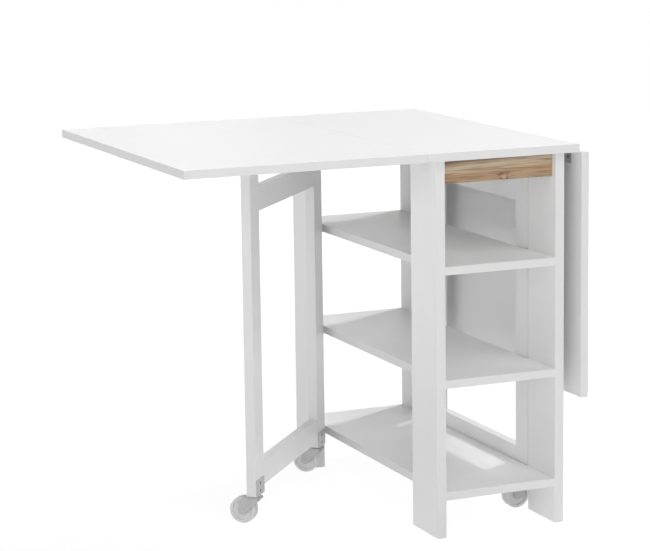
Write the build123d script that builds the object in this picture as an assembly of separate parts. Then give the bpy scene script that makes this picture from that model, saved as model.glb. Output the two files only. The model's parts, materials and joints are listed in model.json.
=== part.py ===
from build123d import *
import os
from math import cos, radians, sin

# Rolling drop-leaf table. Sizes are in millimetres and angles in degrees.
# The leaves reach out along X, the narrow cabinet runs along Y, and Z is up from the floor.
# The table stands as photographed: left leaf raised on its gate leg, right leaf hanging.

# Boards
table_height = 750.0
board = 16.0
post_board = 19.0
edge_round = 0.4

# Top and leaves
top_width = 323.0
top_depth = 740.0
leaf_length = 482.5
leaf_seam = 0.4

# Cabinet
hinge_land_clear = 2.25
end_overhang = 17.5
post_width = 111.0
bottom_shelf_top = 90.0
middle_shelf_top = 310.0
top_shelf_top = 530.0
shelf_relief = 3.0
apron_height = 47.0
apron_setback = 13.5

# Gate legs
gate_free_gap = 29.5
gate_seam = 1.5
gate_top_gap = 0.3
stile_width = 51.0
rail_height = 48.0
bottom_rail_z = 72.0
top_rail_down = 65.0
left_gate_angle = 40.8
right_gate_angle = 0.0

# Butt hinges, the same on leaves and gates
hinge_length = 50.0
hinge_reach = 24.0
hinge_plate = 1.2
barrel_radius = 2.0
barrel_clear = 0.25
hinge_pin_radius = 1.0
running_fit = 0.05
knuckle_count = 5
knuckle_gap = 0.2
pin_head_radius = 1.6
pin_head_thick = 0.6
hinge_screw_offset = 13.0
hinge_screw_in = 12.0
leaf_hinge_inset = 40.0
gate_hinge_up = 150.0
gate_hinge_down = 124.0

# Casters
caster_height = 59.0
wheel_radius = 26.5
wheel_width = 22.0
wheel_edge_round = 3.0
wheel_web = 13.0
wheel_rim = 5.5
wheel_hub_radius = 7.5
caster_trail = 24.5
fork_plate = 1.6
fork_side_gap = 0.4
fork_wheel_clear = 1.0
fork_top_radius = 15.5
fork_hub_radius = 8.5
fork_tail = 20.0
fork_corner_behind = 3.5
fork_corner_up = 21.5
fork_nose_drop = 6.5
fork_toe_angle = 46.0
axle_radius = 3.0
axle_head_radius = 5.0
axle_head_thick = 1.2
bracket_plate = 1.6
bracket_width = 47.0
bracket_height = 31.0
bracket_screws_up = (7.0, 22.5)
race_radius = 10.0
race_height = 4.2
race_gap = 0.2
kingpin_radius = 4.0
kingpin_head_radius = 7.0
kingpin_head_thick = 1.4
kingpin_sink_radius = 6.0

# Fasteners inside the boards
screw_radius = 1.7
screw_head_radius = 3.2
screw_length = 11.5
screw_tip_radius = 0.3
screw_slot_width = 0.9
screw_slot_length = 4.0
screw_slot_depth = 0.6
hole_clear = 0.05
dowel_radius = 4.0
dowel_in_post = 10.0
dowel_in_rail = 20.0
cam_radius = 7.5
cam_depth = 12.5
cam_from_end = 24.0
cam_bolt_radius = 3.0
cam_bolt_in_post = 10.0
shelf_bolt_inset = 35.0
shelf_dowel_inset = 78.0
post_dowel_inset = 38.0
apron_bolt_down = 14.0
apron_dowel_down = 34.0
apron_top_bolt_x = 55.0
rail_dowel_spacing = 24.0

# Places that follow from those sizes
underside = table_height - board
half_top = top_width / 2
pin_offset = barrel_radius + barrel_clear
side_overhang = hinge_reach - pin_offset + hinge_land_clear
half_cabinet = half_top - side_overhang
half_inside = half_cabinet - post_board
half_depth = top_depth / 2 - end_overhang
post_inner_y = half_depth - post_width
shelf_tops = {
    "bottom_shelf": bottom_shelf_top,
    "middle_shelf": middle_shelf_top,
    "top_shelf": top_shelf_top,
}
leaf_pin_x = half_top + pin_offset
leaf_pin_z = underside - pin_offset
gate_pin_x = half_cabinet + pin_offset
gate_pin_y = post_inner_y - gate_seam / 2
gate_length = 2 * post_inner_y - gate_seam - gate_free_gap
gate_hinge_heights = (gate_hinge_up, underside - gate_hinge_down)
stile_top = underside - gate_top_gap
top_rail_z = underside - top_rail_down - rail_height
wheel_gap_half = wheel_width / 2 + fork_side_gap
fork_half = wheel_gap_half + fork_plate
fork_top_z = caster_height - bracket_plate - race_height - race_gap
wheel_room = fork_top_z - fork_plate - fork_wheel_clear - wheel_radius
fork_bridge = caster_trail - (wheel_radius**2 - wheel_room**2) ** 0.5
left_end = -(half_top + leaf_seam + leaf_length)
right_end = leaf_pin_x + pin_offset + board
origin_x = (left_end + right_end) / 2

os.makedirs("parts", exist_ok=True)


def block(low, high):
    """A box from its low corner to its high corner."""
    size = [b - a for a, b in zip(low, high)]
    return Pos(*low) * Box(*size, align=(Align.MIN, Align.MIN, Align.MIN))


def panel(low, high):
    """A board with its twelve edges slightly eased."""
    solid = block(low, high)
    return fillet(solid.edges(), edge_round)


def rod(start, direction, radius, length):
    """A round bar from a start point along a direction."""
    place = Plane(origin=start, z_dir=direction)
    return place * Cylinder(radius, length, align=(Align.CENTER, Align.CENTER, Align.MIN))


def drill(solid, holes):
    """The solid with every hole taken out of it."""
    for hole in holes:
        solid = solid - hole
    return solid


def write(name, *solids):
    """One file for one piece, or for one group of identical fasteners."""
    placed = [Pos(-origin_x, 0, 0) * solid for solid in solids]
    shape = placed[0] if len(placed) == 1 else Compound(children=placed)
    export_step(shape, f"parts/{name}.step")


# Fasteners. Each function gives the piece, and the hole that it fills.

def screw(face_point, inward):
    """A countersunk screw whose head is flush at the face point."""
    place = Plane(origin=face_point, z_dir=inward)
    head = Cone(screw_head_radius, screw_radius, hinge_plate, align=(Align.CENTER, Align.CENTER, Align.MIN))
    shank = Cylinder(screw_radius, screw_length, align=(Align.CENTER, Align.CENTER, Align.MIN))
    tip = Pos(0, 0, screw_length) * Cone(
        screw_radius, screw_tip_radius, 2 * screw_radius, align=(Align.CENTER, Align.CENTER, Align.MIN))
    slot = Box(screw_slot_length, screw_slot_width, 2 * screw_slot_depth)
    cross = slot + Rot(0, 0, 90) * slot
    return place * (head + shank + tip - cross)


def screw_hole(face_point, inward):
    """The room for that screw in a plate and in the board behind it."""
    place = Plane(origin=face_point, z_dir=inward)
    head = Cone(
        screw_head_radius + hole_clear,
        screw_radius + hole_clear,
        hinge_plate,
        align=(Align.CENTER, Align.CENTER, Align.MIN),
    )
    length = screw_length + 2 * screw_radius + hole_clear
    shank = Cylinder(screw_radius + hole_clear, length, align=(Align.CENTER, Align.CENTER, Align.MIN))
    return place * (head + shank)


def dowel(centre, direction, back, ahead):
    """A dowel that lies across a joint at the centre point."""
    way = Vector(*direction)
    return rod(Vector(*centre) - way * back, direction, dowel_radius, back + ahead)


def dowel_hole(centre, direction, back, ahead):
    """The blind hole on both sides of that joint."""
    way = Vector(*direction)
    start = Vector(*centre) - way * (back + hole_clear)
    return rod(start, direction, dowel_radius + hole_clear, back + ahead + 2 * hole_clear)


def cam_bolt(joint, into):
    """A bolt screwed into one board, its head in the cam of the next. It points into the cam's board."""
    way = Vector(*into)
    start = Vector(*joint) - way * cam_bolt_in_post
    return rod(start, into, cam_bolt_radius, cam_bolt_in_post + cam_from_end)


def cam_bolt_hole(joint, into):
    way = Vector(*into)
    start = Vector(*joint) - way * (cam_bolt_in_post + hole_clear)
    length = cam_bolt_in_post + cam_from_end + 2 * hole_clear
    return rod(start, into, cam_bolt_radius + hole_clear, length)


def cam_lock(joint, into, face_offset, inward):
    """The round cam that draws the bolt tight. It is let into the face that lies face_offset away."""
    centre = Vector(*joint) + Vector(*into) * cam_from_end - Vector(*inward) * face_offset
    body = rod(centre, inward, cam_radius, cam_depth)
    return body - cam_bolt_hole(joint, into)


def cam_hole(joint, into, face_offset, inward):
    centre = Vector(*joint) + Vector(*into) * cam_from_end - Vector(*inward) * face_offset
    return rod(centre, inward, cam_radius + hole_clear, cam_depth + hole_clear)


# Butt hinges. In a hinge's own frame the pin runs along Z, the boards lie at plus Y,
# the fixed plate reaches to minus X and the moving plate to plus X.

def knuckle_spans(moving):
    """The stretches of the barrel that belong to one plate."""
    pitch = hinge_length / knuckle_count
    first = 1 if moving else 0
    spans = []
    for n in range(first, knuckle_count, 2):
        low = -hinge_length / 2 + n * pitch
        spans.append((low + knuckle_gap / 2, low + pitch - knuckle_gap / 2))
    return spans


def hinge_half(moving):
    """One plate with its knuckles."""
    side = 1 if moving else -1
    near = pin_offset
    xs = sorted((side * near, side * hinge_reach))
    half = block(
        (xs[0], pin_offset - hinge_plate, -hinge_length / 2),
        (xs[1], pin_offset, hinge_length / 2),
    )
    for low, high in knuckle_spans(moving):
        neck = sorted((0, side * near))
        half = half + block((neck[0], barrel_radius - hinge_plate, low), (neck[1], barrel_radius, high))
        half = half + rod((0, 0, low), (0, 0, 1), barrel_radius, high - low)
    bore = rod((0, 0, -hinge_length), (0, 0, 1), hinge_pin_radius + running_fit, 2 * hinge_length)
    half = half - bore
    return drill(half, [screw_hole(p, (0, 1, 0)) for p in hinge_screw_points(moving)])


def hinge_screw_points(moving):
    """Where the screw heads lie on a plate's outer face."""
    side = 1 if moving else -1
    y = pin_offset - hinge_plate
    return [(side * hinge_screw_in, y, z) for z in (-hinge_screw_offset, hinge_screw_offset)]


def hinge_pin():
    """The pin, headed at both ends."""
    length = hinge_length + 2 * knuckle_gap
    pin = rod((0, 0, -length / 2), (0, 0, 1), hinge_pin_radius, length)
    pin = pin + rod((0, 0, -length / 2 - pin_head_thick), (0, 0, 1), pin_head_radius, pin_head_thick)
    return pin + rod((0, 0, length / 2), (0, 0, 1), pin_head_radius, pin_head_thick)


fixed_half = hinge_half(False)
moving_half = hinge_half(True)
one_pin = hinge_pin()


def at_hinges(places, solid):
    """The solid at every hinge of a row."""
    return [place * solid for place in places]


def screws_at(places, moving):
    return [place * screw(p, (0, 1, 0)) for place in places for p in hinge_screw_points(moving)]


def holes_at(places, moving):
    return [place * screw_hole(p, (0, 1, 0)) for place in places for p in hinge_screw_points(moving)]


# Hinge places
hinge_y = top_depth / 2 - leaf_hinge_inset - hinge_length / 2


def leaf_hinge_places(side):
    """The two hinges of one leaf, side -1 left or 1 right."""
    return [
        Plane(origin=(side * leaf_pin_x, y, leaf_pin_z), x_dir=(side, 0, 0), z_dir=(0, -side, 0))
        for y in (-hinge_y, hinge_y)
    ]


def gate_hinge_places():
    """The two hinges of a gate, in the gate's own frame with its pin at the origin."""
    return [Plane(origin=(0, 0, z)) for z in gate_hinge_heights]


def gate_frame(side, open_angle):
    """The frame of a gate: origin on its pin, X towards its free end, Y towards the cabinet's inside."""
    swing = radians(open_angle)
    return Plane(
        origin=(side * gate_pin_x, -side * gate_pin_y, 0),
        x_dir=(side * sin(swing), side * cos(swing), 0),
        z_dir=(0, 0, 1),
    )


left_leaf_hinges = leaf_hinge_places(-1)
right_leaf_hinges = leaf_hinge_places(1)
left_post_frame = gate_frame(-1, 0)
right_post_frame = gate_frame(1, 0)
left_gate_frame = gate_frame(-1, left_gate_angle)
right_gate_frame = gate_frame(1, right_gate_angle)
gate_hinges = gate_hinge_places()

# Joints inside the cabinet: a point, the way into the second board, and a face for the cam
shelf_joints = []
shelf_dowel_joints = []
for shelf_top in shelf_tops.values():
    for x_side in (-1, 1):
        for y_side in (-1, 1):
            middle_z = shelf_top - board / 2
            bolt_y = y_side * (half_depth - shelf_bolt_inset)
            peg_y = y_side * (half_depth - shelf_dowel_inset)
            shelf_joints.append(((x_side * half_inside, bolt_y, middle_z), (-x_side, 0, 0)))
            shelf_dowel_joints.append(((x_side * half_inside, peg_y, middle_z), (-x_side, 0, 0)))

apron_middle_y = half_depth - apron_setback - board / 2
apron_end_joints = []
apron_top_joints = []
apron_dowel_joints = []
for y_side in (-1, 1):
    for x_side in (-1, 1):
        y = y_side * apron_middle_y
        end = x_side * half_inside
        apron_end_joints.append(((end, y, underside - apron_bolt_down), (-x_side, 0, 0), (0, y_side, 0)))
        apron_dowel_joints.append(((end, y, underside - apron_dowel_down), (-x_side, 0, 0)))
        apron_top_joints.append(((x_side * apron_top_bolt_x, y, underside), (0, 0, -1), (0, y_side, 0)))

post_middle_x = half_cabinet - post_board / 2
post_top_joints = [
    ((x_side * post_middle_x, y_side * y, underside), (0, 0, -1))
    for x_side in (-1, 1)
    for y_side in (-1, 1)
    for y in (half_depth - post_dowel_inset, post_inner_y + post_dowel_inset)
]

shelf_cams = [(joint, into, board / 2, (0, 0, 1)) for joint, into in shelf_joints]
apron_cams = [(joint, into, board / 2, way) for joint, into, way in apron_end_joints + apron_top_joints]
cams = shelf_cams + apron_cams
cam_bolts = [(joint, into) for joint, into, _, _ in cams]
cabinet_dowels = shelf_dowel_joints + apron_dowel_joints + post_top_joints

cabinet_holes = [cam_bolt_hole(*c) for c in cam_bolts]
cabinet_holes += [dowel_hole(*d, dowel_in_post, dowel_in_rail) for d in cabinet_dowels]
cam_holes = [cam_hole(*c) for c in cams]
left_post_screw_holes = [left_post_frame * hole for hole in holes_at(gate_hinges, False)]
right_post_screw_holes = [right_post_frame * hole for hole in holes_at(gate_hinges, False)]


def touching(solid, holes):
    """Only the holes whose boxes meet the solid's box."""
    box = solid.bounding_box()
    kept = []
    for hole in holes:
        other = hole.bounding_box()
        apart = any(
            a_low >= b_high or b_low >= a_high
            for a_low, a_high, b_low, b_high in zip(box.min, box.max, other.min, other.max)
        )
        if not apart:
            kept.append(hole)
    return kept


def drilled(solid, holes):
    return drill(solid, touching(solid, holes))


# Main top
main_top = panel(
    (-half_top, -top_depth / 2, underside),
    (half_top, top_depth / 2, table_height),
)
top_holes = holes_at(left_leaf_hinges, False) + holes_at(right_leaf_hinges, False)
write("main_top", drilled(main_top, cabinet_holes + top_holes))


# Leaves. A leaf is made level in its hinge frame and turned down about its pin.

def leaf(side, drop):
    """A leaf board, side -1 left or 1 right, turned down by the drop angle."""
    near = half_top + leaf_seam
    xs = sorted((side * near, side * (near + leaf_length)))
    solid = panel((xs[0], -top_depth / 2, underside), (xs[1], top_depth / 2, table_height))
    places = leaf_hinge_places(side)
    solid = drilled(solid, holes_at(places, True))
    pin = Axis((side * leaf_pin_x, 0, leaf_pin_z), (0, side, 0))
    plates = [one.rotate(pin, drop) for one in at_hinges(places, moving_half)]
    screws = [one.rotate(pin, drop) for one in screws_at(places, True)]
    return solid.rotate(pin, drop), plates, screws


left_board, left_plates, left_screws = leaf(-1, 0)
right_board, right_plates, right_screws = leaf(1, 90)
write("left_leaf", left_board)
write("right_leaf", right_board)
write("left_leaf_hinge_leaf_plates", *left_plates)
write("right_leaf_hinge_leaf_plates", *right_plates)
write("left_leaf_screws", *left_screws)
write("right_leaf_screws", *right_screws)
write("left_leaf_hinge_top_plates", *at_hinges(left_leaf_hinges, fixed_half))
write("right_leaf_hinge_top_plates", *at_hinges(right_leaf_hinges, fixed_half))
write("left_leaf_hinge_pins", *at_hinges(left_leaf_hinges, one_pin))
write("right_leaf_hinge_pins", *at_hinges(right_leaf_hinges, one_pin))

# Posts
post_holes = cabinet_holes + left_post_screw_holes + right_post_screw_holes
for x_name, x_side in (("left", -1), ("right", 1)):
    for y_name, y_side in (("near", -1), ("far", 1)):
        xs = sorted((x_side * half_inside, x_side * half_cabinet))
        ys = sorted((y_side * post_inner_y, y_side * half_depth))
        post = panel((xs[0], ys[0], 0), (xs[1], ys[1], underside))
        write(f"{y_name}_{x_name}_post", drilled(post, post_holes))

# Shelves, eased back between the posts so that the closed gates clear their edges
for shelf_name, shelf_top in shelf_tops.items():
    low = shelf_top - board
    shelf = panel((-half_inside, -half_depth, low), (half_inside, half_depth, shelf_top))
    for x_side in (-1, 1):
        xs = sorted((x_side * (half_inside - shelf_relief), x_side * (half_inside + shelf_relief)))
        shelf = shelf - block((xs[0], -post_inner_y, low - board), (xs[1], post_inner_y, shelf_top + board))
    write(shelf_name, drilled(shelf, cabinet_holes + cam_holes))

# Aprons under both ends of the top
for y_name, y_side in (("near", -1), ("far", 1)):
    ys = sorted((y_side * (apron_middle_y - board / 2), y_side * (apron_middle_y + board / 2)))
    apron = panel((-half_inside, ys[0], underside - apron_height), (half_inside, ys[1], underside))
    write(f"{y_name}_apron", drilled(apron, cabinet_holes + cam_holes))

# Hidden fittings of the cabinet
write("cam_locks", *[cam_lock(*c) for c in cams])
write("cam_bolts", *[cam_bolt(*c) for c in cam_bolts])
write("cabinet_dowels", *[dowel(*d, dowel_in_post, dowel_in_rail) for d in cabinet_dowels])

# Screws in the fixed halves of all the hinges
cabinet_screws = screws_at(left_leaf_hinges, False) + screws_at(right_leaf_hinges, False)
for frame in (left_post_frame, right_post_frame):
    cabinet_screws += [frame * one for one in screws_at(gate_hinges, False)]
write("cabinet_screws", *cabinet_screws)

# Gate legs, in the gate's own frame
gate_near = gate_seam / 2
gate_far = gate_near + gate_length
gate_out = pin_offset
gate_in = pin_offset + post_board
gate_middle = (gate_out + gate_in) / 2
rail_bottoms = {"bottom_rail": bottom_rail_z, "top_rail": top_rail_z}
kingpin_x = {"hinge": gate_near + stile_width / 2, "free": gate_far - stile_width / 2}

rail_dowel_joints = []
for rail_bottom in rail_bottoms.values():
    for step in (-0.5, 0.5):
        z = rail_bottom + rail_height / 2 + step * rail_dowel_spacing
        rail_dowel_joints.append(((gate_near + stile_width, gate_middle, z), (1, 0, 0)))
        rail_dowel_joints.append(((gate_far - stile_width, gate_middle, z), (-1, 0, 0)))
rail_dowel_holes = [dowel_hole(*d, dowel_in_rail, dowel_in_rail) for d in rail_dowel_joints]


def bracket_screw_points(x):
    """The two screw heads of a caster bracket on the stile's inner face."""
    y = gate_in + bracket_plate
    return [(x, y, caster_height + up) for up in bracket_screws_up]


bracket_screw_holes = [
    screw_hole(p, (0, -1, 0)) for x in kingpin_x.values() for p in bracket_screw_points(x)
]
gate_holes = rail_dowel_holes + holes_at(gate_hinges, True) + bracket_screw_holes


def gate_boards():
    """The four boards of one gate."""
    spans = {"hinge_stile": (gate_near, gate_near + stile_width), "free_stile": (gate_far - stile_width, gate_far)}
    boards = {}
    for name, (low, high) in spans.items():
        boards[name] = panel((low, gate_out, caster_height), (high, gate_in, stile_top))
    for name, low in rail_bottoms.items():
        boards[name] = panel(
            (gate_near + stile_width, gate_out, low),
            (gate_far - stile_width, gate_in, low + rail_height),
        )
    return {name: drilled(solid, gate_holes) for name, solid in boards.items()}


# Casters. The kingpin stands on the stile's centre line, and each caster's own frame has
# its origin under the kingpin on the floor, X ahead of the wheel and Y along the axle.

def bracket(x):
    """The angle bracket screwed to the stile's inner face, with the race under its foot."""
    low = caster_height - bracket_plate
    left = x - bracket_width / 2
    right = x + bracket_width / 2
    upright = block((left, gate_in, low), (right, gate_in + bracket_plate, caster_height + bracket_height))
    foot = block((left, gate_out, low), (right, gate_in + bracket_plate, caster_height))
    race = rod((x, gate_middle, low - race_height), (0, 0, 1), race_radius, race_height)
    pin_room = Pos(x, gate_middle, low) * Cone(
        kingpin_radius + hole_clear,
        kingpin_sink_radius + hole_clear,
        bracket_plate,
        align=(Align.CENTER, Align.CENTER, Align.MIN),
    )
    bore = rod((x, gate_middle, 0), (0, 0, 1), kingpin_radius + hole_clear, caster_height)
    solid = upright + foot + race - pin_room - bore
    return drill(solid, [screw_hole(p, (0, -1, 0)) for p in bracket_screw_points(x)])


def kingpin(x):
    """The rivet that the fork turns on, flush in the bracket and headed under the fork."""
    low = fork_top_z - fork_plate - race_gap
    shank = rod((x, gate_middle, low), (0, 0, 1), kingpin_radius, caster_height - low)
    sink = Pos(x, gate_middle, caster_height - bracket_plate) * Cone(
        kingpin_radius, kingpin_sink_radius, bracket_plate, align=(Align.CENTER, Align.CENTER, Align.MIN))
    head = rod((x, gate_middle, low - kingpin_head_thick), (0, 0, 1), kingpin_head_radius, kingpin_head_thick)
    return shank + sink + head


def fork():
    """The swivelling fork: a round-nosed top plate that stops short of the wheel, and two sides."""
    top_low = fork_top_z - fork_plate
    nose = rod((0, 0, top_low), (0, 0, 1), fork_top_radius, fork_plate)
    nose = nose & block((0, -fork_half, top_low), (fork_top_radius, fork_half, fork_top_z))
    top = nose + block((-fork_bridge, -fork_half, top_low), (0, fork_half, fork_top_z))
    shoulder = (fork_top_radius**2 - fork_half**2) ** 0.5
    hub = (-caster_trail, wheel_radius)
    toe = radians(fork_toe_angle)
    outline = Polyline(
        (shoulder, fork_top_z),
        (-fork_tail, fork_top_z),
        (hub[0] - fork_corner_behind, hub[1] + fork_corner_up),
        (hub[0] - fork_hub_radius, hub[1]),
        (hub[0] + fork_hub_radius * cos(toe), hub[1] - fork_hub_radius * sin(toe)),
        (shoulder, fork_top_z - fork_nose_drop),
        close=True,
    )
    face = Plane.XZ * make_face(outline)
    disc = Plane.XZ * (Pos(*hub) * Circle(fork_hub_radius))
    side = extrude(face + disc, fork_plate / 2, both=True)
    middle = wheel_gap_half + fork_plate / 2
    solid = top + Pos(0, middle, 0) * side + Pos(0, -middle, 0) * side
    solid = solid - rod((0, 0, 0), (0, 0, 1), kingpin_radius + running_fit, caster_height)
    return solid - rod((-caster_trail, -fork_half, wheel_radius), (0, 1, 0), axle_radius + hole_clear, 2 * fork_half)


def axle():
    """The rivet through the fork and the wheel."""
    shank = rod((-caster_trail, -fork_half, wheel_radius), (0, 1, 0), axle_radius, 2 * fork_half)
    for side in (-1, 1):
        shank = shank + rod(
            (-caster_trail, side * fork_half, wheel_radius), (0, side, 0), axle_head_radius, axle_head_thick)
    return shank


def wheel():
    """The wheel: a tread with round edges, a thinner web and a hub."""
    whole = rod((-caster_trail, -wheel_width / 2, wheel_radius), (0, 1, 0), wheel_radius, wheel_width)
    whole = fillet(whole.edges().filter_by(GeomType.CIRCLE), wheel_edge_round)
    web_step = (wheel_width - wheel_web) / 2
    for side in (-1, 1):
        start = (-caster_trail, side * wheel_width / 2, wheel_radius)
        dish = rod(start, (0, -side, 0), wheel_radius - wheel_rim, web_step)
        whole = whole - (dish - rod(start, (0, -side, 0), wheel_hub_radius, web_step))
    return whole - rod(
        (-caster_trail, -wheel_width, wheel_radius), (0, 1, 0), axle_radius + running_fit, 2 * wheel_width)


def caster_place(x, trails_out):
    """Where a caster stands in the gate's frame, its wheel trailing outwards or inwards."""
    ahead = (0, 1, 0) if trails_out else (0, -1, 0)
    return Plane(origin=(x, gate_middle, 0), x_dir=ahead, z_dir=(0, 0, 1))


boards = gate_boards()
one_fork = fork()
one_axle = axle()
one_wheel = wheel()
gate_plates = at_hinges(gate_hinges, moving_half)
gate_screws = screws_at(gate_hinges, True)
gate_screws += [screw(p, (0, -1, 0)) for x in kingpin_x.values() for p in bracket_screw_points(x)]
gate_dowels = [dowel(*d, dowel_in_rail, dowel_in_rail) for d in rail_dowel_joints]
kingpins = [kingpin(x) for x in kingpin_x.values()]

gates = (
    ("left", left_gate_frame, left_post_frame, True),
    ("right", right_gate_frame, right_post_frame, False),
)
for side_name, frame, post_frame, trails_out in gates:
    for board_name, solid in boards.items():
        write(f"{side_name}_gate_{board_name}", frame * solid)
    write(f"{side_name}_gate_hinge_gate_plates", *[frame * one for one in gate_plates])
    write(f"{side_name}_gate_hinge_post_plates", *[post_frame * one for one in at_hinges(gate_hinges, fixed_half)])
    write(f"{side_name}_gate_hinge_pins", *[post_frame * one for one in at_hinges(gate_hinges, one_pin)])
    write(f"{side_name}_gate_screws", *[frame * one for one in gate_screws])
    write(f"{side_name}_gate_dowels", *[frame * one for one in gate_dowels])
    write(f"{side_name}_gate_kingpins", *[frame * one for one in kingpins])
    for end_name, x in kingpin_x.items():
        place = caster_place(x, trails_out)
        write(f"{side_name}_{end_name}_caster_bracket", frame * bracket(x))
        write(f"{side_name}_{end_name}_caster_fork", frame * (place * one_fork))
        write(f"{side_name}_{end_name}_caster_axle", frame * (place * one_axle))
        write(f"{side_name}_{end_name}_caster_wheel", frame * (place * one_wheel))
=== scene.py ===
import json
from math import cos, radians, sin
import bpy
from mathutils import Matrix, Vector


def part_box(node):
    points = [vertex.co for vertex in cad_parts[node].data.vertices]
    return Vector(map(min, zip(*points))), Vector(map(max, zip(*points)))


# Rolling drop-leaf table, left leaf raised on its gate leg, right leaf hanging.
# Everything is in metres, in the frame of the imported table.
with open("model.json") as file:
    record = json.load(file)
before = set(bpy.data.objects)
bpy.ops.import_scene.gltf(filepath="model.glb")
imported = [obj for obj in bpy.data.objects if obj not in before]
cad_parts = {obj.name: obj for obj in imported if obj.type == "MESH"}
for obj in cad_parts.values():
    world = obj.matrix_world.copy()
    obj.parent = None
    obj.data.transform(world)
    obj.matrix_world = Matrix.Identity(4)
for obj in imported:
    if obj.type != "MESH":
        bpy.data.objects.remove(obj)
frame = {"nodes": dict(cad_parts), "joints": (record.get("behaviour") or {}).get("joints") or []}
bpy.ops.object.select_all(action="DESELECT")
nodes = frame["nodes"]
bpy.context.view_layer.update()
print("table loaded:", len(nodes), "pieces")

mm = 0.001


def perMetre(sizeMm):
    # how many cells of a pattern lie in a metre, from the size of one in millimetres
    return 1 / (sizeMm * mm)


def linearColour(code):
    # sRGB hex to the linear values that the shaders use
    parts = [int(code[i:i + 2], 16) / 255 for i in (1, 3, 5)]
    linear = (p / 12.92 if p <= 0.04045 else ((p + 0.055) / 1.055) ** 2.4 for p in parts)
    return tuple(linear) + (1.0,)


def addNode(owner, kind, settings=None, feeds=None):
    # one node of a material or world, its settings, and what goes into its sockets: a plain
    # value, or (node, output)
    node = owner.node_tree.nodes.new(kind)
    for name, value in (settings or {}).items():
        setattr(node, name, value)
    for socket, value in (feeds or {}).items():
        if isinstance(value, tuple) and isinstance(value[0], bpy.types.Node):
            owner.node_tree.links.new(value[0].outputs[value[1]], node.inputs[socket])
        else:
            node.inputs[socket].default_value = value
    return node


def newMaterial(name, constants):
    # a material with its surface shader, whose plain values are set on the shader itself
    material = bpy.data.materials.new(name)
    material.use_nodes = True
    surface = material.node_tree.nodes["Principled BSDF"]
    for socket, value in constants.items():
        surface.inputs[socket].default_value = value
    return material, surface


def linkTo(material, surface, feeds):
    for socket, (node, output) in feeds.items():
        material.node_tree.links.new(node.outputs[output], surface.inputs[socket])


def finishNodes(names, material):
    for name in names:
        slots = nodes[name].material_slots
        for slot in slots:
            slot.material = material
        if not slots:
            nodes[name].data.materials.append(material)


# White melamine-faced board: a white printed foil pressed against a pearl-grained plate,
# so it has a soft satin sheen and a fine even pebble. Its edges have a smoother plastic band,
# whose greyer tone is partly its own and partly painted shade for the weaker light on the edges.
melamine = {
    "whiteHex": "#F6F6F6",
    "creamHex": "#F3F3F3",
    # edge band tone, greyer than the faces: partly the band's own tone, partly painted shade
    "edgeBandAndShadeHex": "#E7E7E7",
    "faceAbove": 0.8,  # how squarely a point looks along the board's thin way, to be on a face
    "mottleMm": 70,  # cloudy change of tone in the foil
    "pearlMm": 1.6,  # the real pebble is 0.5 mm, drawn coarser so that it shows
    "pearlDeepMm": 0.035,
    "edgeLineMm": 2.2,  # scraper lines along the plastic band
    "edgeLineDeepMm": 0.012,
    "faceRough": 0.44,
    "faceRoughSpread": 0.05,
    "edgeRough": 0.34,
}


def melamineBoard(name, thinWay):
    look = melamine
    made, surface = newMaterial(name, {"IOR": 1.5, "Metallic": 0.0})
    place = addNode(made, "ShaderNodeTexCoord")
    facing = addNode(made, "ShaderNodeVectorMath", {"operation": "DOT_PRODUCT"},
                     {0: (place, "Normal"), 1: thinWay})
    facingSize = addNode(made, "ShaderNodeMath", {"operation": "ABSOLUTE"}, {0: (facing, "Value")})
    onFace = addNode(made, "ShaderNodeMath", {"operation": "GREATER_THAN"},
                     {0: (facingSize, 0), 1: look["faceAbove"]})
    mottle = addNode(made, "ShaderNodeTexNoise", {},
                     {"Vector": (place, "Object"), "Scale": perMetre(look["mottleMm"]),
                      "Detail": 3.0})
    foil = addNode(made, "ShaderNodeMix", {"data_type": "RGBA"},
                   {0: (mottle, "Fac"), 6: linearColour(look["whiteHex"]),
                    7: linearColour(look["creamHex"])})
    # the edges take the band tone, which is partly painted shade
    colour = addNode(made, "ShaderNodeMix", {"data_type": "RGBA"},
                     {0: (onFace, 0), 6: linearColour(look["edgeBandAndShadeHex"]), 7: (foil, 2)})
    pearl = addNode(made, "ShaderNodeTexVoronoi", {"feature": "SMOOTH_F1"},
                    {"Vector": (place, "Object"), "Scale": perMetre(look["pearlMm"])})
    pearlHeight = addNode(made, "ShaderNodeMath", {"operation": "MULTIPLY"},
                          {0: (pearl, "Distance"), 1: (onFace, 0)})
    pebbled = addNode(made, "ShaderNodeBump", {},
                      {"Strength": 0.5, "Distance": look["pearlDeepMm"] * mm,
                       "Height": (pearlHeight, 0)})
    band = addNode(made, "ShaderNodeTexNoise", {},
                   {"Vector": (place, "Object"), "Scale": perMetre(look["edgeLineMm"]),
                    "Detail": 1.0})
    offFace = addNode(made, "ShaderNodeMath", {"operation": "SUBTRACT"}, {0: 1.0, 1: (onFace, 0)})
    bandHeight = addNode(made, "ShaderNodeMath", {"operation": "MULTIPLY"},
                         {0: (band, "Fac"), 1: (offFace, 0)})
    lined = addNode(made, "ShaderNodeBump", {},
                    {"Strength": 0.4, "Distance": look["edgeLineDeepMm"] * mm,
                     "Height": (bandHeight, 0), "Normal": (pebbled, 0)})
    sheen = addNode(made, "ShaderNodeMapRange", {},
                    {"Value": (mottle, "Fac"),
                     "To Min": look["faceRough"] - look["faceRoughSpread"],
                     "To Max": look["faceRough"] + look["faceRoughSpread"]})
    rough = addNode(made, "ShaderNodeMix", {"data_type": "FLOAT"},
                    {0: (onFace, 0), 2: look["edgeRough"], 3: (sheen, 0)})
    linkTo(made, surface,
           {"Base Color": (colour, 2), "Roughness": (rough, 0), "Normal": (lined, 0)})
    return made


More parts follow.
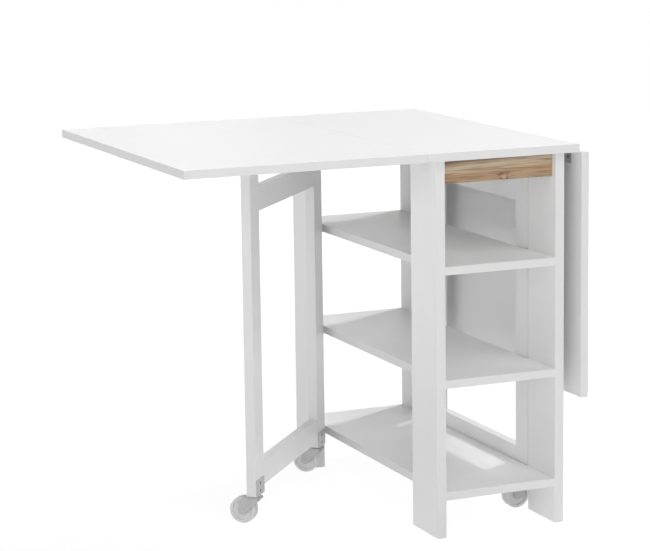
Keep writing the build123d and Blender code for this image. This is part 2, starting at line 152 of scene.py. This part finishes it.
gatePin = Vector(next(j["pos_m"] for j in frame["joints"] if j["name"] == "left_gate_hinge"))
freeLow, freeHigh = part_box("left_gate_free_stile")
gateWay = (Vector(freeLow) + Vector(freeHigh)) / 2 - gatePin  # from the pin to the free stile
gateThin = Vector((-gateWay.y, gateWay.x, 0)).normalized()

finishNodes(["main_top", "left_leaf", "top_shelf", "middle_shelf", "bottom_shelf"],
            melamineBoard("white melamine board, flat", (0, 0, 1)))
finishNodes([n for n in nodes if n.endswith("_post") or n == "right_leaf"]
            + [n for n in nodes if n.startswith("right_gate") and n.endswith(("_stile", "_rail"))],
            melamineBoard("white melamine board, upright", (1, 0, 0)))
finishNodes([n for n in nodes if n.startswith("left_gate") and n.endswith(("_stile", "_rail"))],
            melamineBoard("white melamine board, swung gate", gateThin))
print("boards finished")

# Oak-print board of the two aprons: a printed foil with long grain, paler across the middle
# and browner below, with one small cracked knot that the grain flows round. Along its top edge
# it is darkened with painted shade, where the tabletop shades the apron. Widths around the knot
# are counted from its middle, where 1 is its rim.
oak = {
    # the dark top stops, 0.92 and 1.0, are painted shade under the tabletop; the rest are the
    # print's tones
    "printAndShadeZones": {0.0: "#B3A085", 0.1: "#B99B7C", 0.38: "#BA9A78", 0.52: "#CDB899", 0.72: "#D0BDA3",
              0.84: "#B6A188", 0.92: "#8E7A63", 1.0: "#705F4D"},  # from the lower edge up
    "streakHex": "#73573C",
    "crackHex": "#64472C",
    "knotHex": "#D2AC82",
    "lowZ": 0.687,
    "highZ": 0.734,
    "tilt": 0.045,  # how far the zones climb in a metre of board
    "wanderMm": 11,
    "wanderLongMm": 230,
    "wanderHighMm": 60,
    "fibreLongMm": 90,
    "fibreWideMm": 1.6,
    "fibreSpan": (0.38, 0.66),  # noise from no fibre to full fibre
    "fibreMost": 0.34,
    "streakLongMm": 55,
    "streakWideMm": 2.6,
    "streakSpan": (0.5, 0.62),
    "streakMost": 0.55,
    "knotX": 0.244,
    "knotZ": 0.694,
    "knotLongMm": 11,
    "knotHighMm": 5,
    "knotThrough": 1e3,  # metres, so the knot goes right through the board
    "knotReach": 2.2,  # how far out the grain is pushed aside
    "knotLiftMm": 7,
    "coreSpan": (0.2, 1.0),
    "coreMost": 0.6,
    "crackMm": 6,
    "crackRing": 1.1,
    "crackRingWide": 0.8,
    "crackSpan": (0.48, 0.6),
    "crackMost": 0.85,
    "poreDeepMm": 0.05,
    "rough": 0.46,
    "fibreRough": (-0.06, 0.08),  # added between the fibres and on them
}


def oakBoard(name):
    look = oak
    made, surface = newMaterial(name, {"IOR": 1.5, "Metallic": 0.0})
    place = addNode(made, "ShaderNodeTexCoord")
    # how far a point is from the knot's middle
    knotPlace = addNode(made, "ShaderNodeMapping", {"vector_type": "TEXTURE"},
                        {"Vector": (place, "Object"), "Location": (look["knotX"], 0, look["knotZ"]),
                         "Scale": (look["knotLongMm"] * mm, look["knotThrough"],
                                   look["knotHighMm"] * mm)})
    knotFar = addNode(made, "ShaderNodeVectorMath", {"operation": "LENGTH"}, {0: (knotPlace, 0)})
    knotNear = addNode(made, "ShaderNodeMapRange", {"interpolation_type": "SMOOTHSTEP"},
                       {"Value": (knotFar, "Value"), "From Min": 0.0,
                        "From Max": look["knotReach"], "To Min": 1.0, "To Max": 0.0})
    # the grain runs along the board, wanders, and is pushed aside by the knot
    wavePlace = addNode(made, "ShaderNodeMapping", {},
                        {"Vector": (place, "Object"),
                         "Scale": (perMetre(look["wanderLongMm"]), 0,
                                   perMetre(look["wanderHighMm"]))})
    wander = addNode(made, "ShaderNodeTexNoise", {},
                     {"Vector": (wavePlace, 0), "Scale": 1.0, "Detail": 3.0})
    shift = addNode(made, "ShaderNodeMath", {"operation": "MULTIPLY_ADD"},
                    {0: (wander, "Fac"), 1: look["wanderMm"] * mm, 2: -0.5 * look["wanderMm"] * mm})
    lifted = addNode(made, "ShaderNodeMath", {"operation": "MULTIPLY_ADD"},
                     {0: (knotNear, 0), 1: look["knotLiftMm"] * mm, 2: (shift, 0)})
    raised = addNode(made, "ShaderNodeCombineXYZ", {}, {"Z": (lifted, 0)})
    grain = addNode(made, "ShaderNodeVectorMath", {"operation": "ADD"},
                    {0: (place, "Object"), 1: (raised, 0)})
    # the print's tone zones, from the lower edge to the upper, which climb a little along the
    # board;
    # the darkest ones at the top are painted shade under the tabletop
    parts = addNode(made, "ShaderNodeSeparateXYZ", {}, {0: (grain, 0)})
    leaned = addNode(made, "ShaderNodeMath", {"operation": "MULTIPLY_ADD"},
                     {0: (parts, "X"), 1: -look["tilt"], 2: (parts, "Z")})
    level = addNode(made, "ShaderNodeMapRange", {},
                    {"Value": (leaned, 0), "From Min": look["lowZ"] - look["knotX"] * look["tilt"],
                     "From Max": look["highZ"] - look["knotX"] * look["tilt"]})
    printAndShadeZones = addNode(made, "ShaderNodeValToRGB", {}, {0: (level, 0)})
    stops = printAndShadeZones.color_ramp.elements
    for spot in list(look["printAndShadeZones"])[1:-1]:
        stops.new(spot)
    for stop, (spot, code) in zip(stops, look["printAndShadeZones"].items()):
        stop.position = spot
        stop.color = linearColour(code)
    # fine fibres, and fewer longer dark streaks
    fibrePlace = addNode(made, "ShaderNodeMapping", {},
                         {"Vector": (grain, 0),
                          "Scale": (perMetre(look["fibreLongMm"]),)
                          + 2 * (perMetre(look["fibreWideMm"]),)})
    fibre = addNode(made, "ShaderNodeTexNoise", {},
                    {"Vector": (fibrePlace, 0), "Scale": 1.0, "Detail": 4.0})
    fibreMuch = addNode(made, "ShaderNodeMapRange", {},
                        {"Value": (fibre, "Fac"), "From Min": look["fibreSpan"][0],
                         "From Max": look["fibreSpan"][1], "To Max": look["fibreMost"]})
    streakPlace = addNode(made, "ShaderNodeMapping", {},
                          {"Vector": (grain, 0),
                           "Scale": (perMetre(look["streakLongMm"]),)
                           + 2 * (perMetre(look["streakWideMm"]),)})
    streak = addNode(made, "ShaderNodeTexNoise", {},
                     {"Vector": (streakPlace, 0), "Scale": 1.0, "Detail": 2.0})
    streakMuch = addNode(made, "ShaderNodeMapRange", {},
                         {"Value": (streak, "Fac"), "From Min": look["streakSpan"][0],
                          "From Max": look["streakSpan"][1], "To Max": look["streakMost"]})
    fibred = addNode(made, "ShaderNodeMix", {"data_type": "RGBA"},
                     {0: (fibreMuch, 0), 6: (printAndShadeZones, "Color"), 7: linearColour(look["streakHex"])})
    streaked = addNode(made, "ShaderNodeMix", {"data_type": "RGBA"},
                       {0: (streakMuch, 0), 6: (fibred, 2), 7: linearColour(look["streakHex"])})
    # the knot: a pale core with broken dark cracks at its rim
    core = addNode(made, "ShaderNodeMapRange", {"interpolation_type": "SMOOTHSTEP"},
                   {"Value": (knotFar, "Value"), "From Min": look["coreSpan"][0],
                    "From Max": look["coreSpan"][1], "To Min": look["coreMost"], "To Max": 0.0})
    cored = addNode(made, "ShaderNodeMix", {"data_type": "RGBA"},
                    {0: (core, 0), 6: (streaked, 2), 7: linearColour(look["knotHex"])})
    fromRim = addNode(made, "ShaderNodeMath", {"operation": "SUBTRACT"},
                      {0: (knotFar, "Value"), 1: look["crackRing"]})
    offRim = addNode(made, "ShaderNodeMath", {"operation": "ABSOLUTE"}, {0: (fromRim, 0)})
    rim = addNode(made, "ShaderNodeMapRange", {"interpolation_type": "SMOOTHSTEP"},
                  {"Value": (offRim, 0), "From Min": 0.0, "From Max": look["crackRingWide"],
                   "To Min": 1.0, "To Max": 0.0})
    cracks = addNode(made, "ShaderNodeTexNoise", {},
                     {"Vector": (place, "Object"), "Scale": perMetre(look["crackMm"]),
                      "Detail": 2.0})
    broken = addNode(made, "ShaderNodeMapRange", {},
                     {"Value": (cracks, "Fac"), "From Min": look["crackSpan"][0],
                      "From Max": look["crackSpan"][1], "To Max": look["crackMost"]})
    crackMuch = addNode(made, "ShaderNodeMath", {"operation": "MULTIPLY"},
                        {0: (rim, 0), 1: (broken, 0)})
    knotted = addNode(made, "ShaderNodeMix", {"data_type": "RGBA"},
                      {0: (crackMuch, 0), 6: (cored, 2), 7: linearColour(look["crackHex"])})
    pores = addNode(made, "ShaderNodeBump", {},
                    {"Strength": 0.35, "Distance": look["poreDeepMm"] * mm,
                     "Height": (fibre, "Fac")})
    sheen = addNode(made, "ShaderNodeMapRange", {},
                    {"Value": (fibre, "Fac"), "To Min": look["rough"] + look["fibreRough"][0],
                     "To Max": look["rough"] + look["fibreRough"][1]})
    linkTo(made, surface,
           {"Base Color": (knotted, 2), "Roughness": (sheen, 0), "Normal": (pores, 0)})
    return made


finishNodes(["near_apron", "far_apron"], oakBoard("oak-print board"))
print("aprons finished")

# Pressed steel of the caster forks and brackets: phosphated and painted light grey,
# with a faint orange peel in the paint.
castersPaint = {
    "greyHex": "#CACACA",
    "shadeHex": "#C0C0C0",
    "cloudMm": 14,
    "peelMm": 1.8,
    "peelDeepMm": 0.04,
    "rough": 0.46,
    "roughSpread": 0.07,
}


def paintedSteel(name):
    look = castersPaint
    made, surface = newMaterial(name, {"IOR": 1.5, "Metallic": 0.0})
    place = addNode(made, "ShaderNodeTexCoord")
    peel = addNode(made, "ShaderNodeTexNoise", {},
                   {"Vector": (place, "Object"), "Scale": perMetre(look["peelMm"]), "Detail": 2.0})
    cloud = addNode(made, "ShaderNodeTexNoise", {},
                    {"Vector": (place, "Object"), "Scale": perMetre(look["cloudMm"]),
                     "Detail": 3.0})
    colour = addNode(made, "ShaderNodeMix", {"data_type": "RGBA"},
                     {0: (cloud, "Fac"), 6: linearColour(look["greyHex"]),
                      7: linearColour(look["shadeHex"])})
    rough = addNode(made, "ShaderNodeMapRange", {},
                    {"Value": (cloud, "Fac"), "To Min": look["rough"] - look["roughSpread"],
                     "To Max": look["rough"] + look["roughSpread"]})
    bumped = addNode(made, "ShaderNodeBump", {},
                     {"Strength": 0.4, "Distance": look["peelDeepMm"] * mm,
                      "Height": (peel, "Fac")})
    linkTo(made, surface,
           {"Base Color": (colour, 2), "Roughness": (rough, 0), "Normal": (bumped, 0)})
    return made


# Zinc-plated steel: dull blue-grey, a little cloudy from the bath and finely scratched, pale on
# the hinges and darker on the screws.
zinc = {
    "hingeHex": "#DADCDE",
    "hingeDarkHex": "#C6C8CA",
    "screwHex": "#6A6C6E",
    "screwDarkHex": "#56585A",
    "cloudMm": 6,
    "scratchLongMm": 14,
    "scratchWideMm": 0.5,
    "scratchDeepMm": 0.02,
    "rough": 0.42,
    "roughSpread": 0.1,
}


def platedSteel(name, brightHex, darkHex):
    look = zinc
    made, surface = newMaterial(name, {"Metallic": 1.0})
    place = addNode(made, "ShaderNodeTexCoord")
    cloud = addNode(made, "ShaderNodeTexNoise", {},
                    {"Vector": (place, "Object"), "Scale": perMetre(look["cloudMm"]),
                     "Detail": 4.0})
    scratchPlace = addNode(made, "ShaderNodeMapping", {},
                           {"Vector": (place, "Object"),
                            "Scale": 2 * (perMetre(look["scratchWideMm"]),)
                            + (perMetre(look["scratchLongMm"]),)})
    scratch = addNode(made, "ShaderNodeTexNoise", {},
                      {"Vector": (scratchPlace, 0), "Scale": 1.0, "Detail": 2.0})
    colour = addNode(made, "ShaderNodeMix", {"data_type": "RGBA"},
                     {0: (cloud, "Fac"), 6: linearColour(brightHex), 7: linearColour(darkHex)})
    rough = addNode(made, "ShaderNodeMapRange", {},
                    {"Value": (cloud, "Fac"), "To Min": look["rough"] - look["roughSpread"],
                     "To Max": look["rough"] + look["roughSpread"]})
    bumped = addNode(made, "ShaderNodeBump", {},
                     {"Strength": 0.25, "Distance": look["scratchDeepMm"] * mm,
                      "Height": (scratch, "Fac")})
    linkTo(made, surface,
           {"Base Color": (colour, 2), "Roughness": (rough, 0), "Normal": (bumped, 0)})
    return made


finishNodes([n for n in nodes
             if n.endswith(("_caster_bracket", "_caster_fork", "_kingpins", "_caster_axle"))],
            paintedSteel("pressed steel, light grey paint"))
finishNodes([n for n in nodes if n.endswith(("_plates", "_hinge_pins"))],
            platedSteel("zinc-plated hinge steel", zinc["hingeHex"], zinc["hingeDarkHex"]))
finishNodes([n for n in nodes if n.endswith("_screws") or n == "cam_bolts"],
            platedSteel("zinc-plated screw steel", zinc["screwHex"], zinc["screwDarkHex"]))
print("metal finished")

# Natural nylon of the wheels: moulded, pale grey, a little light passes into it,
# and the tread is scuffed dull where it rolls.
nylon = {
    "paleHex": "#E4E4E4",
    "scuffHex": "#D2D2D2",
    "glowMm": 4.0,
    "glow": 0.25,
    "treadDeepMm": 3,  # the scuffed rim, measured in from the tread
    "scuffMm": 5,
    "grainMm": 0.9,
    "grainDeepMm": 0.03,
    "rough": 0.38,
    "scuffRough": 0.62,
}


def nylonWheel(name, centre, treadRadius):
    look = nylon
    made, surface = newMaterial(name, {
        "IOR": 1.53, "Metallic": 0.0, "Subsurface Weight": look["glow"],
        "Subsurface Radius": (1.0, 1.0, 1.0), "Subsurface Scale": look["glowMm"] * mm})
    place = addNode(made, "ShaderNodeTexCoord")
    moved = addNode(made, "ShaderNodeVectorMath", {"operation": "SUBTRACT"},
                    {0: (place, "Object"), 1: tuple(centre)})
    away = addNode(made, "ShaderNodeVectorMath", {"operation": "LENGTH"}, {0: (moved, 0)})
    tread = addNode(made, "ShaderNodeMapRange", {"interpolation_type": "SMOOTHSTEP"},
                    {"Value": (away, "Value"),
                     "From Min": treadRadius - look["treadDeepMm"] * mm, "From Max": treadRadius})
    grain = addNode(made, "ShaderNodeTexNoise", {},
                    {"Vector": (place, "Object"), "Scale": perMetre(look["grainMm"]),
                     "Detail": 2.0})
    scuffPlace = addNode(made, "ShaderNodeTexNoise", {},
                         {"Vector": (place, "Object"), "Scale": perMetre(look["scuffMm"]),
                          "Detail": 5.0})
    scuff = addNode(made, "ShaderNodeMath", {"operation": "MULTIPLY"},
                    {0: (tread, 0), 1: (scuffPlace, "Fac")})
    colour = addNode(made, "ShaderNodeMix", {"data_type": "RGBA"},
                     {0: (scuff, 0), 6: linearColour(look["paleHex"]),
                      7: linearColour(look["scuffHex"])})
    rough = addNode(made, "ShaderNodeMapRange", {},
                    {"Value": (scuff, 0), "To Min": look["rough"], "To Max": look["scuffRough"]})
    bumped = addNode(made, "ShaderNodeBump", {},
                     {"Strength": 0.3, "Distance": look["grainDeepMm"] * mm,
                      "Height": (grain, "Fac")})
    linkTo(made, surface,
           {"Base Color": (colour, 2), "Roughness": (rough, 0), "Normal": (bumped, 0)})
    return made


for side in ("left", "right"):
    for end in ("hinge", "free"):
        node = f"{side}_{end}_caster_wheel"
        low, high = (Vector(corner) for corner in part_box(node))
        finishNodes([node], nylonWheel(f"natural nylon, {side} {end} wheel",
                                       (low + high) / 2, high.z / 2))
print("wheels finished")

# What is hidden inside the boards: fluted beech dowels with brown flecks, and die-cast cams with
# a dull grainy skin.
hidden = {
    "beechHex": "#CDAA7C",
    "beechDarkHex": "#B08C60",
    "beechMm": 2.5,
    "beechRough": 0.62,
    "castHex": "#A9ABAD",
    "castDarkHex": "#8F9193",
    "castMm": 1.2,
    "castRough": 0.48,
    "grainDeepMm": 0.05,
}


def dullPiece(name, paleHex, darkHex, grainMm, constants):
    made, surface = newMaterial(name, constants)
    place = addNode(made, "ShaderNodeTexCoord")
    grain = addNode(made, "ShaderNodeTexNoise", {},
                    {"Vector": (place, "Object"), "Scale": perMetre(grainMm), "Detail": 3.0})
    colour = addNode(made, "ShaderNodeMix", {"data_type": "RGBA"},
                     {0: (grain, "Fac"), 6: linearColour(paleHex), 7: linearColour(darkHex)})
    bumped = addNode(made, "ShaderNodeBump", {},
                     {"Strength": 0.4, "Distance": hidden["grainDeepMm"] * mm,
                      "Height": (grain, "Fac")})
    linkTo(made, surface, {"Base Color": (colour, 2), "Normal": (bumped, 0)})
    return made


finishNodes([n for n in nodes if n.endswith("_dowels")],
            dullPiece("bare beech dowel", hidden["beechHex"], hidden["beechDarkHex"],
                      hidden["beechMm"], {"Roughness": hidden["beechRough"]}))
finishNodes(["cam_locks"],
            dullPiece("die-cast zinc cam", hidden["castHex"], hidden["castDarkHex"],
                      hidden["castMm"], {"Roughness": hidden["castRough"], "Metallic": 1.0}))
print("hidden fittings finished")

# A pale floor and a white world. What the camera sees of them, straight or mirrored, is a glow
# that ends in plain white, and the light that they give the table is much weaker.
studio = {
    "floorHalf": 6.0,
    "floorHex": "#E7E7E7",
    "floorShade": 0.20,  # the part of the seen floor that takes light, and so shows the shadow
    "nearGlow": 0.89,
    "farGlow": 1.0,
    "nearReach": 1.2,  # the shadow fades out between these two distances
    "farReach": 3.0,
    "floorBounce": 0.22,  # what the bright floor throws back up at the table
    "worldGlow": 1.0,
    "worldLight": 0.02,
}


def seenByCamera(owner):
    # 1 for what the camera sees, straight or through a reflection or glass, else 0
    ray = addNode(owner, "ShaderNodeLightPath")
    glossy = addNode(owner, "ShaderNodeMath", {"operation": "MAXIMUM"},
                     {0: (ray, "Is Camera Ray"), 1: (ray, "Is Glossy Ray")})
    return addNode(owner, "ShaderNodeMath", {"operation": "MAXIMUM"},
                   {0: (glossy, 0), 1: (ray, "Is Transmission Ray")})


def layFloor():
    bpy.ops.mesh.primitive_plane_add(size=2 * studio["floorHalf"], location=(0, 0, 0))
    floor = bpy.context.object
    floor.name = "studioFloor"
    made = bpy.data.materials.new("matt white floor")
    made.use_nodes = True
    tree = made.node_tree
    tree.nodes.remove(tree.nodes["Principled BSDF"])
    matt = addNode(made, "ShaderNodeBsdfDiffuse", {}, {"Color": linearColour(studio["floorHex"])})
    bounce = addNode(made, "ShaderNodeEmission", {}, {"Strength": studio["floorBounce"]})
    plain = addNode(made, "ShaderNodeAddShader", {}, {0: (matt, 0), 1: (bounce, 0)})
    shade = addNode(made, "ShaderNodeBsdfDiffuse", {},
                    {"Color": 3 * (studio["floorShade"],) + (1.0,)})
    place = addNode(made, "ShaderNodeTexCoord")
    reach = addNode(made, "ShaderNodeVectorMath", {"operation": "LENGTH"}, {0: (place, "Object")})
    fade = addNode(made, "ShaderNodeMapRange", {"interpolation_type": "SMOOTHSTEP"},
                   {"Value": (reach, "Value"),
                    "From Min": studio["nearReach"], "From Max": studio["farReach"],
                    "To Min": studio["nearGlow"], "To Max": studio["farGlow"]})
    glow = addNode(made, "ShaderNodeEmission", {}, {"Strength": (fade, 0)})
    lit = addNode(made, "ShaderNodeAddShader", {}, {0: (shade, 0), 1: (glow, 0)})
    seen = seenByCamera(made)
    mixed = addNode(made, "ShaderNodeMixShader", {}, {0: (seen, 0), 1: (plain, 0), 2: (lit, 0)})
    tree.links.new(mixed.outputs[0], tree.nodes["Material Output"].inputs["Surface"])
    floor.data.materials.append(made)


def setWorld():
    world = bpy.data.worlds.new("pale studio")
    bpy.context.scene.world = world
    world.use_nodes = True
    back = world.node_tree.nodes["Background"]
    seen = seenByCamera(world)
    strength = addNode(world, "ShaderNodeMix", {"data_type": "FLOAT"},
                       {0: (seen, 0), 2: studio["worldLight"], 3: studio["worldGlow"]})
    world.node_tree.links.new(strength.outputs[0], back.inputs["Strength"])
    back.inputs["Color"].default_value = (1, 1, 1, 1)


# A far small lamp throws the patch of light on the bottom shelf, and big soft boxes, all at one
# distance, give the rest. Each has its turn round the table, from the photographed side towards
# the hanging leaf, and its rise above level. The low front ones are not mirrored, or the top
# would be plain white from behind.
farLamp = {"turnDeg": 117.7, "riseDeg": 42, "strength": 1.08, "widthDeg": 5.0, "mirrored": True}
softBoxes = {
    "right": {"turnDeg": 90, "riseDeg": 45, "watts": 62.0, "mirrored": True},
    "front": {"turnDeg": 0, "riseDeg": 45, "watts": 63.0, "mirrored": True},
    "behind right": {"turnDeg": 135, "riseDeg": 45, "watts": 22.0, "mirrored": True},
    "behind": {"turnDeg": 180, "riseDeg": 12, "watts": 23.0, "mirrored": True},
    "low front": {"turnDeg": 0, "riseDeg": 12, "watts": 24.5, "mirrored": False},
    "low front left": {"turnDeg": -45, "riseDeg": 12, "watts": 38.0, "mirrored": False},
    "low left": {"turnDeg": -90, "riseDeg": 12, "watts": 33.0, "mirrored": False},
}
lampPlaces = {"aim": (0.1, 0.0, 0.4), "distance": 4.5, "boxSize": 3.0}


def hangLamp(name, kind, place):
    turn, rise = radians(place["turnDeg"]), radians(place["riseDeg"])
    away = Vector((sin(turn) * cos(rise), -cos(turn) * cos(rise), sin(rise)))
    lamp = bpy.data.lights.new(name, kind)
    hung = bpy.data.objects.new(name, lamp)
    bpy.context.collection.objects.link(hung)
    hung.location = Vector(lampPlaces["aim"]) + away * lampPlaces["distance"]
    hung.rotation_euler = away.to_track_quat("Z", "Y").to_euler()
    hung.visible_glossy = place["mirrored"]
    return lamp


def hangLamps():
    far = hangLamp("far lamp", "SUN", farLamp)
    far.energy = farLamp["strength"]
    far.angle = radians(farLamp["widthDeg"])
    for name, box in softBoxes.items():
        soft = hangLamp(name, "AREA", box)
        soft.shape = "SQUARE"
        soft.size = lampPlaces["boxSize"]
        soft.energy = box["watts"]


# The camera, found from the straight edges of the photographed table
photoCamera = {
    "place": (-1.7880, -4.2194, 1.2885),
    "turnDeg": -23.660,  # from looking straight along the cabinet, towards the right
    "dipDeg": 9.420,
    "rollDeg": -0.723,
    "focalPixels": 2310.6,
    "shiftPixels": (-20.0, -30.0),
    "imagePixels": 650,
    "sensorMm": 36.0,
}


def placeCamera():
    view = photoCamera
    turn, dip, roll = (radians(view[key]) for key in ("turnDeg", "dipDeg", "rollDeg"))
    ahead = Vector((-sin(turn) * cos(dip), cos(turn) * cos(dip), -sin(dip)))
    level = Vector((cos(turn), sin(turn), 0))
    over = level.cross(ahead)
    right = level * cos(roll) + over * sin(roll)
    up = over * cos(roll) - level * sin(roll)
    made = bpy.data.cameras.new("photoCamera")
    made.sensor_width = view["sensorMm"]
    made.lens = view["focalPixels"] * view["sensorMm"] / view["imagePixels"]
    made.shift_x, made.shift_y = (pixels / view["imagePixels"] for pixels in view["shiftPixels"])
    camera = bpy.data.objects.new("photoCamera", made)
    bpy.context.collection.objects.link(camera)
    facing = Matrix((right, up, -ahead)).transposed().to_4x4()
    camera.matrix_world = Matrix.Translation(view["place"]) @ facing
    bpy.context.scene.camera = camera


layFloor()
setWorld()
hangLamps()
placeCamera()
bpy.context.scene.view_settings.view_transform = "Standard"
print("studio ready")
